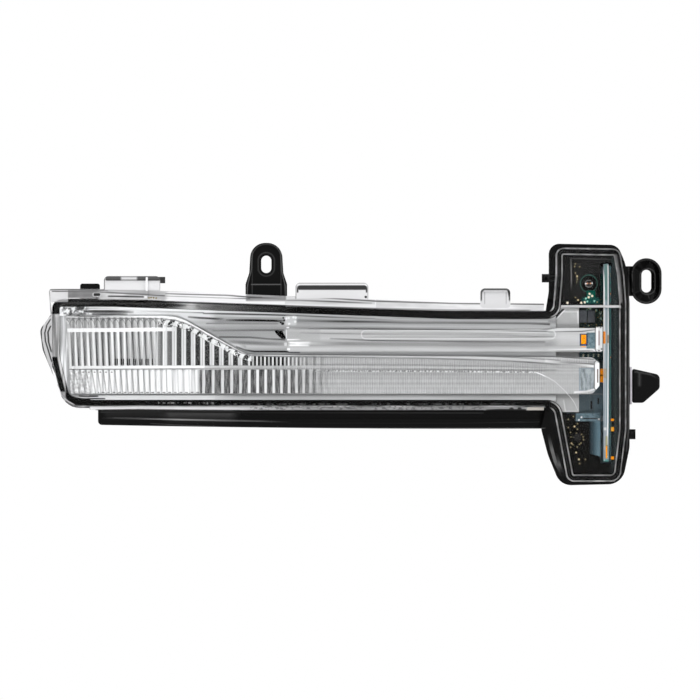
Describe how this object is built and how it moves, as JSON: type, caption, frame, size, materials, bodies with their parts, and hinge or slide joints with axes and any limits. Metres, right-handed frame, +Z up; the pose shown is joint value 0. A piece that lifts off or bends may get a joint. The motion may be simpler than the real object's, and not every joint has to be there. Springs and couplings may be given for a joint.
{
  "type": "side repeater lamp",
  "caption": "Long clear door-mirror turn-signal lamp with fluted light guides, a black housing with a taller head, screw ears and a rear connector socket.",
  "frame": {"origin": "middle of the screw slot of the top ear, on the flat rear seat of that ear", "axes": "+X along the bar towards the head, +Y to the rear, square to the ear seats, +Z up; the lens faces -Y"},
  "size_m": [0.2329, 0.0423, 0.0909],
  "materials": {
    "housing": "glossy black moulded plastic",
    "lens": "clear moulded polycarbonate",
    "sealant": "black sealant",
    "reflector": "vapour-metallised plastic",
    "light_guide": "clear moulded acrylic",
    "backing": "white matt diffuser",
    "board": "green solder mask",
    "carrier": "blue-grey coated aluminium",
    "holder": "light grey moulded plastic",
    "mask": "black spark-textured plastic",
    "passives": "ceramic chip parts with tinned ends",
    "pad": "translucent silicone",
    "socket": "black fine-grained plastic",
    "seal": "orange silicone rubber",
    "screw": "zinc-plated steel",
    "chip": "dark grey moulded chip package",
    "terminal": "tinned brass",
    "led": "amber phosphor"
  },
  "bodies": {
    "root": {"rear_housing": "housing", "outer_lens": "lens", "sealant_bead": "sealant", "bar_reflector": "reflector", "lower_light_guide": "light_guide", "guide_backing": "backing", "upper_light_guide": "light_guide", "side_light_guide": "light_guide", "led_board": "board", "board_carrier": "carrier", "lower_plate": "carrier", "driver_board": "board", "guide_holder": "holder", "head_mask": "mask", "board_parts": "passives", "peg_pad": "pad", "connector_socket": "socket", "connector_seal": "seal", "breather_cap": "socket", "mask_screw_1": "screw", "mask_screw_2": "screw", "driver_chip_1": "chip", "driver_chip_2": "chip", "terminal_1": "terminal", "terminal_2": "terminal", "terminal_3": "terminal", "guide_led_upper": "led", "guide_led_lower_1": "led", "guide_led_lower_2": "led", "front_led": "led", "side_led_1": "led", "side_led_2": "led", "side_led_3": "led", "tail_led": "led"}
  },
  "joints": []
}
